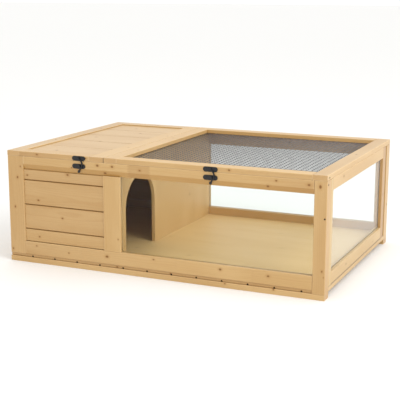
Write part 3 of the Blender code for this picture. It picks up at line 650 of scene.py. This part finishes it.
# End walls: short fir frames between the long walls, one round the left end's boards and one round
# the right end's window, over thin base strips.
# Painted shade in the joint lines where the bottom rails meet the base strips.
under = (("z", "low", 2.6, 0.60),)
over = (("z", "high", 2.2, 0.60),)
timber(
    "hide_end_bottom_rail", "y", heart=(-44, 20),
    knots=[("x", 410, 44, 2.4)],
    joints=[(300, 0.04)],
    painted_shade_sides=under,
)
timber("hide_end_top_rail", "y", heart=(-40, -24), knots=[("x", 150, 288, 2.0)], joints=[(362, 0.04)])
timber("hide_end_front_stile", "z", heart=(-38, 12), knots=[("x", 34, 130, 1.8)])
timber("hide_end_back_stile", "z", heart=(-42, -14), shade=0.99, knots=[("x", 602, 220, 1.7)])
timber("hide_end_base_strip", "y", heart=(-30, 28), shade=0.98, painted_shade_sides=over)
timber(
    "run_end_bottom_rail", "y", heart=(44, 22), shade=1.05,
    knots=[("x", 190, 47, 1.8), ("x", 470, 40, 1.6)],
    joints=[(342, 0.03)],
    painted_shade_sides=under,
)
timber("run_end_top_rail", "y", heart=(40, -30), knots=[("x", 142.8, 289.8, 2.0)], joints=[(420, 0.03)])
timber("run_end_front_stile", "z", heart=(36, -16), shade=1.08)
# Its low shade is partly its own deeper tone and partly painted shade. The dark band along its back edge is
# painted shade in the recess beside the back corner post.
timber(
    "run_end_back_stile", "z", heart=(42, 20), shade=0.75,
    knots=[("x", 572, 160, 1.6)],
    painted_shade_sides=(("y", "high", 22, 0.38),),
)
timber("run_end_base_strip", "y", heart=(32, 26), shade=1.03, painted_shade_sides=over)

# Floor and dividing wall: thin boards of edge glued fir, left bare inside the house. The floor lies
# on the shadow strips, the wall stands on it between both middle stiles, its doorway sawn out.
# Their paler colour is partly unvarnished fir and partly painted light inside the house.
timber(
    "floor_panel", "x", heart=(150, -46), bare_and_lit=0.46,
    knots=[
        ("z", 492.1, 133.7, 3.0), ("z", 357.2, 299.2, 2.6), ("z", 358.6, 175.6, 2.0),
        ("z", 323.8, 144.6, 2.0), ("z", 700, 310, 2.6), ("z", 640, 470, 2.2), ("z", 120, 180, 2.2),
    ],
)
timber("dividing_wall", "z", heart=(48, 180), bare_and_lit=0.20, knots=[("x", 470, 130, 2.2)])

# Windows: clear acrylic sheets, slid into the grooves of the frame. The surround shows on them where
# they are seen at a slant, with faint wiping marks. Their sawn rims in the grooves are milky.
GROOVE_BITE = 6.4
SAWN_EDGE = 0.3
ACRYLIC_IOR = 1.49
ACRYLIC_GLOSS = (0.93, 0.95, 0.95)
ACRYLIC_CLEAR = (0.97, 0.985, 0.98)
SLANT_SHARE = 0.70
WIPED_SHARE = 0.006
LEAST_SHARE = 0.008
RIM_SHARE = 0.12
for pane_node in ("front_window_pane", "back_window_pane", "run_end_window_pane"):
    pane_sheet = Sheet("clear_" + pane_node)
    smear = pane_sheet.grit((6, 6, 22), 3.0)
    pane_sheet.set(Base_Color=ACRYLIC_GLOSS, Roughness=smear * 0.05 + 0.02, IOR=ACRYLIC_IOR)
    see_through = pane_sheet.node("BsdfTransparent", {}, {"Color": ACRYLIC_CLEAR})
    slant = pane_sheet.node("LayerWeight", {}, {"Blend": 0.5}, "Facing")
    rim = edge_distance(pane_sheet, *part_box(pane_node))
    sawn = 1 - pane_sheet.step(rim, GROOVE_BITE - SAWN_EDGE, GROOVE_BITE)
    shine = pane_sheet.maths("POWER", slant, 5.0) * SLANT_SHARE
    film_share = shine + pane_sheet.step(smear, 0.5, 0.9) * WIPED_SHARE + LEAST_SHARE
    film_share = pane_sheet.maths("MAXIMUM", film_share, sawn * RIM_SHARE)
    gloss = Value(pane_sheet, pane_sheet.shader.outputs[0])
    film = pane_sheet.node("MixShader", {}, {0: film_share, 1: see_through, 2: gloss})
    pane_sheet.put(pane_sheet.tree.nodes["Material Output"].inputs["Surface"], film)
    pane_sheet.dress(pane_node)

# Left lid: a fir frame round five glued roof boards that lie just below its face. Its right rail
# is wider, because it meets the other lid over the middle stile.
timber(
    "left_lid_left_rail", "y", heart=(30, -44),
    knots=[("z", 18, 220, 1.8), ("z", 24, 480, 1.8)],
    joints=[(270, 0.03)],
)
# The painted shade along its right side stands for the shade in the seam between the lids.
timber(
    "left_lid_right_rail", "y", heart=(-28, -48), lit=0.30,
    knots=[("z", 283, 180, 1.7), ("z", 290, 420, 2.0)],
    joints=[(346, 0.03)],
    painted_shade_sides=(("x", "high", 0.3, 0.9),),
)
timber(
    "left_lid_front_rail", "x", heart=(40, -28), shade=0.97, lit=0.25,
    knots=[("y", 96.7, 309.1, 1.9), ("y", 250, 309, 1.2)],
    joints=[(200, 0.03)],
    painted_shade_stops=((60, 0.30), (290, 0.04)),
)
timber("left_lid_back_rail", "x", heart=(-36, -30), knots=[("z", 160, 612, 1.8)])
timber(
    "left_lid_roof_boards", "x", heart=(80, -50), shade=0.98, grooved=True, lit=0.08,
    knots=[
        ("z", 116, 70.7, 2.2), ("z", 144.7, 261.8, 2.2), ("z", 92, 330, 2.0), ("z", 180, 452, 2.4),
        ("z", 120, 540, 2.0),
    ],
)

# Right lid: a fir frame of the same section, rebated below for a panel of dark welded wire net. The
# net's lengthwise wires lie on the crosswise ones. A nail shows in the frame's right end.
# The painted shade along its left side stands for the shade in the seam between the lids.
timber(
    "right_lid_left_rail", "y", heart=(26, -46), lit=0.30,
    knots=[("z", 330, 150, 1.8), ("z", 322, 390, 1.8)],
    joints=[(310, 0.03)],
    painted_shade_sides=(("x", "low", 0.3, 0.9),),
)
timber(
    "right_lid_right_rail", "y", heart=(-30, -42),
    knots=[("z", 900, 330, 2.0)],
    joints=[(428, 0.03)],
)
lid_nail = from_corner(HOUSE_LENGTH, 17.2, 307.1)
nail_heads("right_lid_nails", [lid_nail], RIGHTWARD, "right_lid", FRAME_NAIL)
timber(
    "right_lid_front_rail", "x", heart=(44, -26), shade=0.97, lit=0.38,
    knots=[("y", 664.2, 308.8, 1.9)],
    joints=[(520, 0.03), (770, 0.0)],
    painted_shade_stops=((310, 0.16), (520, 0.0), (690, 0.01), (800, 0.15)),
)
timber(
    "right_lid_back_rail", "x", heart=(-38, -34), lit=0.15,
    knots=[("z", 760, 622, 1.4)],
    joints=[(600, 0.03)],
)

NET_STEP = 0.0141
NET_MARGIN = 0.0022
WIRE_RADIUS = 0.00082
WIRE_SIDES = 8
WIRE_DARK = (0.140, 0.142, 0.150)
WIRE_PALE = (0.200, 0.203, 0.213)
QUARTER_TURN = math.radians(90)
net_low, net_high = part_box("right_lid_net")
net_middle = (net_low + net_high) / 2
net_build = bmesh.new()
wire_rows = {}
for net_axis, layer in ((0, net_high.z - WIRE_RADIUS), (1, net_low.z + WIRE_RADIUS)):
    other_axis = 1 - net_axis
    span = net_high[net_axis] - net_low[net_axis]
    wide = net_high[other_axis] - net_low[other_axis] - 2 * NET_MARGIN
    count = round(wide / NET_STEP)
    first_wire = net_low[other_axis] + NET_MARGIN
    wire_rows[net_axis] = [first_wire + wide * i / count for i in range(count + 1)]
    for along_other in wire_rows[net_axis]:
        wire = bmesh.ops.create_cone(
            net_build,
            cap_ends=True,
            segments=WIRE_SIDES,
            radius1=WIRE_RADIUS,
            radius2=WIRE_RADIUS,
            depth=span,
        )
        lay = Matrix.Rotation(QUARTER_TURN, 4, "Y" if net_axis == 0 else "X")
        bmesh.ops.transform(net_build, matrix=lay, verts=wire["verts"])
        wire_middle = net_middle.copy()
        wire_middle[other_axis] = along_other
        wire_middle.z = layer
        bmesh.ops.translate(net_build, verts=wire["verts"], vec=wire_middle)
for face in net_build.faces:
    face.smooth = len(face.verts) == 4
wire_sheet = Sheet("dark_net_wire")
dull = wire_sheet.grit((160, 160, 160), 2.0)
wire_sheet.set(
    Base_Color=wire_sheet.blend(wire_sheet.step(dull, 0.3, 0.7), WIRE_DARK, WIRE_PALE),
    Roughness=dull * 0.3 + 0.38,
    Metallic=0.25,
    Normal=wire_sheet.bumps(dull, 0.0002, 0.5),
)
wire_net = add_piece("wire_net", net_build, wire_sheet, "right_lid")
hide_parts("right_lid_net")

# Staples: bright flat steel wire bent square, driven up into the lid's rebate. They hold the ends of
# every fourth lengthwise wire, and the front and back wires as far apart.
STAPLE_CROWN = 0.0056
STAPLE_LEG = 0.0040
STAPLE_WIDE = 0.0011
STAPLE_THICK = 0.0006
STAPLE_BEND = 0.0008
STAPLE_BEND_STEPS = 3
STAPLE_FROM_SIDE = 0.0030
STAPLE_FROM_END = 0.0006
STAPLE_EVERY = slice(2, None, 4)
STAPLE_DULL = (0.40, 0.39, 0.37)
STAPLE_BRIGHT = (0.62, 0.61, 0.58)


def bend_staple(build, x, y):
    """One staple: a flat wire that goes down one leg, along the crown and up the other leg."""
    start = bmesh.ops.create_grid(build, x_segments=1, y_segments=1, size=0.5)
    end_face = start["verts"][0].link_faces[0]
    section = Matrix.Diagonal((STAPLE_WIDE, STAPLE_THICK, 1, 1))
    leg_y = y - STAPLE_CROWN / 2 + STAPLE_THICK / 2
    leg_end = Matrix.Translation((x, leg_y, net_low.z + STAPLE_LEG))
    bmesh.ops.transform(build, matrix=leg_end @ section, verts=start["verts"])
    bend_radius = STAPLE_BEND + STAPLE_THICK / 2
    leg_drop = STAPLE_LEG - STAPLE_BEND
    crown_run = STAPLE_CROWN - STAPLE_THICK - 2 * bend_radius
    to_crown = Vector((0, bend_radius, 0))
    to_second_leg = Vector((0, 0, bend_radius))
    tip = [end_face]
    for move, to_centre in (
        ((0, 0, -leg_drop), to_crown),
        ((0, crown_run, 0), to_second_leg),
        ((0, 0, leg_drop), None),
    ):
        grown = bmesh.ops.extrude_face_region(build, geom=tip)
        moved = [item for item in grown["geom"] if isinstance(item, bmesh.types.BMVert)]
        bmesh.ops.translate(build, verts=moved, vec=move)
        if tip[0] is not end_face:
            bmesh.ops.delete(build, geom=tip, context="FACES_ONLY")
        tip = [item for item in grown["geom"] if isinstance(item, bmesh.types.BMFace)]
        if to_centre is not None:
            centre = tip[0].calc_center_median() + to_centre
            turned = bmesh.ops.spin(
                build, geom=tip, cent=centre, axis=(1, 0, 0), angle=QUARTER_TURN, steps=STAPLE_BEND_STEPS
            )
            bmesh.ops.delete(build, geom=tip, context="FACES_ONLY")
            tip = [item for item in turned["geom_last"] if isinstance(item, bmesh.types.BMFace)]


side_inset = NET_MARGIN + STAPLE_FROM_SIDE
end_inset = NET_MARGIN + STAPLE_FROM_END
staple_build = bmesh.new()
for wire_y in wire_rows[0][STAPLE_EVERY]:
    for staple_x in (net_low.x + side_inset, net_high.x - side_inset):
        bend_staple(staple_build, staple_x, wire_y)
for wire_x in wire_rows[1][STAPLE_EVERY]:
    for staple_y in (net_low.y + end_inset, net_high.y - end_inset):
        bend_staple(staple_build, wire_x + NET_STEP / 2, staple_y)
staple_sheet = Sheet("staple_steel")
scuffed = staple_sheet.grit((500, 500, 500), 2.0)
staple_sheet.set(
    Base_Color=staple_sheet.blend(scuffed, STAPLE_DULL, STAPLE_BRIGHT),
    Roughness=scuffed * 0.3 + 0.25,
    Metallic=0.95,
    Normal=staple_sheet.bumps(scuffed, 0.0001, 0.5),
)
add_piece("net_staples", staple_build, staple_sheet, "right_lid")

# Hinges: zinc plated steel butts, stamped and rolled round their pins, screwed to the backs of the
# lids and of the back wall with three raised countersunk screws in each leaf.
ZINC_DULL = (0.46, 0.46, 0.44)
ZINC_BRIGHT = (0.62, 0.62, 0.60)
zinc_sheet = Sheet("zinc_hinge_steel")
cloudy = zinc_sheet.grit((240, 240, 240), 3.0)
brushed = zinc_sheet.grit((60, 900, 1800), 2.0)
zinc_sheet.set(
    Base_Color=zinc_sheet.blend(zinc_sheet.step(cloudy, 0.3, 0.7), ZINC_DULL, ZINC_BRIGHT),
    Roughness=cloudy * 0.25 + brushed * 0.1 + 0.2,
    Metallic=0.95,
    Normal=zinc_sheet.bumps(brushed, 0.00004, 0.6),
)
for leaf_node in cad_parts:
    if "hinge_leaf" in leaf_node:
        zinc_sheet.dress(leaf_node)

SCREW_CELLS = 5
SCREW_GRID_SHARE = 0.8
SCREW_PROUD = 0.0004
SCREW_SLOT = 0.0007
SCREW_TURN = 1.1


def screw_heads(name, places, outward, radius, sheet, body):
    """Raised countersunk screws: low domed heads on the sheet metal, each with a cross recess."""
    build = bmesh.new()
    turn = Vector((0, 0, 1)).rotation_difference(outward).to_matrix().to_4x4()
    half_grid = radius * SCREW_GRID_SHARE
    cell = 2 * half_grid / SCREW_CELLS
    for number, place in enumerate(places):
        head = bmesh.ops.create_grid(build, x_segments=SCREW_CELLS, y_segments=SCREW_CELLS, size=half_grid)
        faces = {face for vert in head["verts"] for face in vert.link_faces}
        # The grid's rim is drawn out to a circle and let down, which leaves a low dome.
        rim = [vert for vert in head["verts"] if vert.is_boundary]
        for vert in rim:
            vert.co = vert.co.normalized() * radius
            vert.co.z = -SCREW_PROUD
        # The middle cell and its four neighbours are let in as the cross recess.
        cross = []
        for face in faces:
            column, row = (round(axis / cell) for axis in face.calc_center_median()[:2])
            if max(abs(column), abs(row)) < 2 and column * row == 0:
                cross.append(face)
        sunk = bmesh.ops.extrude_face_region(build, geom=cross)
        bmesh.ops.delete(build, geom=cross, context="FACES_ONLY")
        floor_verts = [item for item in sunk["geom"] if isinstance(item, bmesh.types.BMVert)]
        bmesh.ops.translate(build, verts=floor_verts, vec=(0, 0, -SCREW_SLOT))
        rim_edges = [edge for edge in build.edges if edge.is_boundary and edge.verts[0] in rim]
        skirt = bmesh.ops.extrude_edge_only(build, edges=rim_edges)
        skirt_verts = [item for item in skirt["geom"] if isinstance(item, bmesh.types.BMVert)]
        bmesh.ops.translate(build, verts=skirt_verts, vec=(0, 0, -SCREW_SLOT - SCREW_PROUD))
        bmesh.ops.contextual_create(build, geom=skirt_verts)
        head_verts = [vert for vert in head["verts"] + floor_verts + skirt_verts if vert.is_valid]
        stand_at = Matrix.Translation(place + outward * SCREW_PROUD) @ turn
        spun = Matrix.Rotation(number * SCREW_TURN, 4, "Z")
        bmesh.ops.transform(build, matrix=stand_at @ spun, verts=head_verts)
    add_piece(name, build, sheet, body)


HINGE_SCREW = 0.0024
LEAF_SHEET = 0.0012
SCREW_TO_EDGE = 0.0054
LEAF_SCREW_SHARES = (0.2, 0.5, 0.8)
for body, own in (("left_lid", "left_lid_hinge"), ("right_lid", "right_lid_hinge"), ("house", "box_hinge")):
    leaf_screws = []
    for leaf_node in sorted(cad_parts):
        if leaf_node.startswith(own):
            leaf_low, leaf_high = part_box(leaf_node)
            screw_z = leaf_low.z + SCREW_TO_EDGE if body == "house" else leaf_high.z - SCREW_TO_EDGE
            for share in LEAF_SCREW_SHARES:
                screw_x = leaf_low.x + (leaf_high.x - leaf_low.x) * share
                leaf_screws.append(Vector((screw_x, leaf_low.y + LEAF_SHEET, screw_z)))
    name = body + "_hinge_screws"
    screw_heads(name, leaf_screws, BACKWARD, HINGE_SCREW, zinc_sheet, body)

# Hook latches: plates and hooks of black painted steel. The upper plate is screwed to the lid and
# carries the hook, the lower one is screwed to the top rail and carries the post.
BLACK_PAINT = (0.012, 0.012, 0.013)
WORN_PAINT = (0.035, 0.034, 0.033)
black_sheet = Sheet("black_painted_metal")
speck = black_sheet.grit((700, 700, 700), 3.0)
black_sheet.set(
    Base_Color=black_sheet.blend(black_sheet.step(speck, 0.55, 0.8), BLACK_PAINT, WORN_PAINT),
    Roughness=speck * 0.3 + 0.28,
    Metallic=0.2,
    Normal=black_sheet.bumps(speck, 0.00008, 0.7),
)
for latch_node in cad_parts:
    if latch_node.endswith(("latch_plate", "keeper_plate", "hook")):
        black_sheet.dress(latch_node)

LATCH_SCREW = 0.0022
SCREW_FROM_END = 0.0065
for side in ("left", "right"):
    for plate, body in (("latch_plate", side + "_lid"), ("keeper_plate", "house")):
        plate_low, plate_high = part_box(side + "_" + plate)
        plate_z = (plate_low.z + plate_high.z) / 2
        plate_screws = [
            Vector((screw_x, plate_high.y - LEAF_SHEET, plate_z))
            for screw_x in (plate_low.x + SCREW_FROM_END, plate_high.x - SCREW_FROM_END)
        ]
        name = "%s_%s_screws" % (side, plate)
        screw_heads(name, plate_screws, FORWARD, LATCH_SCREW, black_sheet, body)
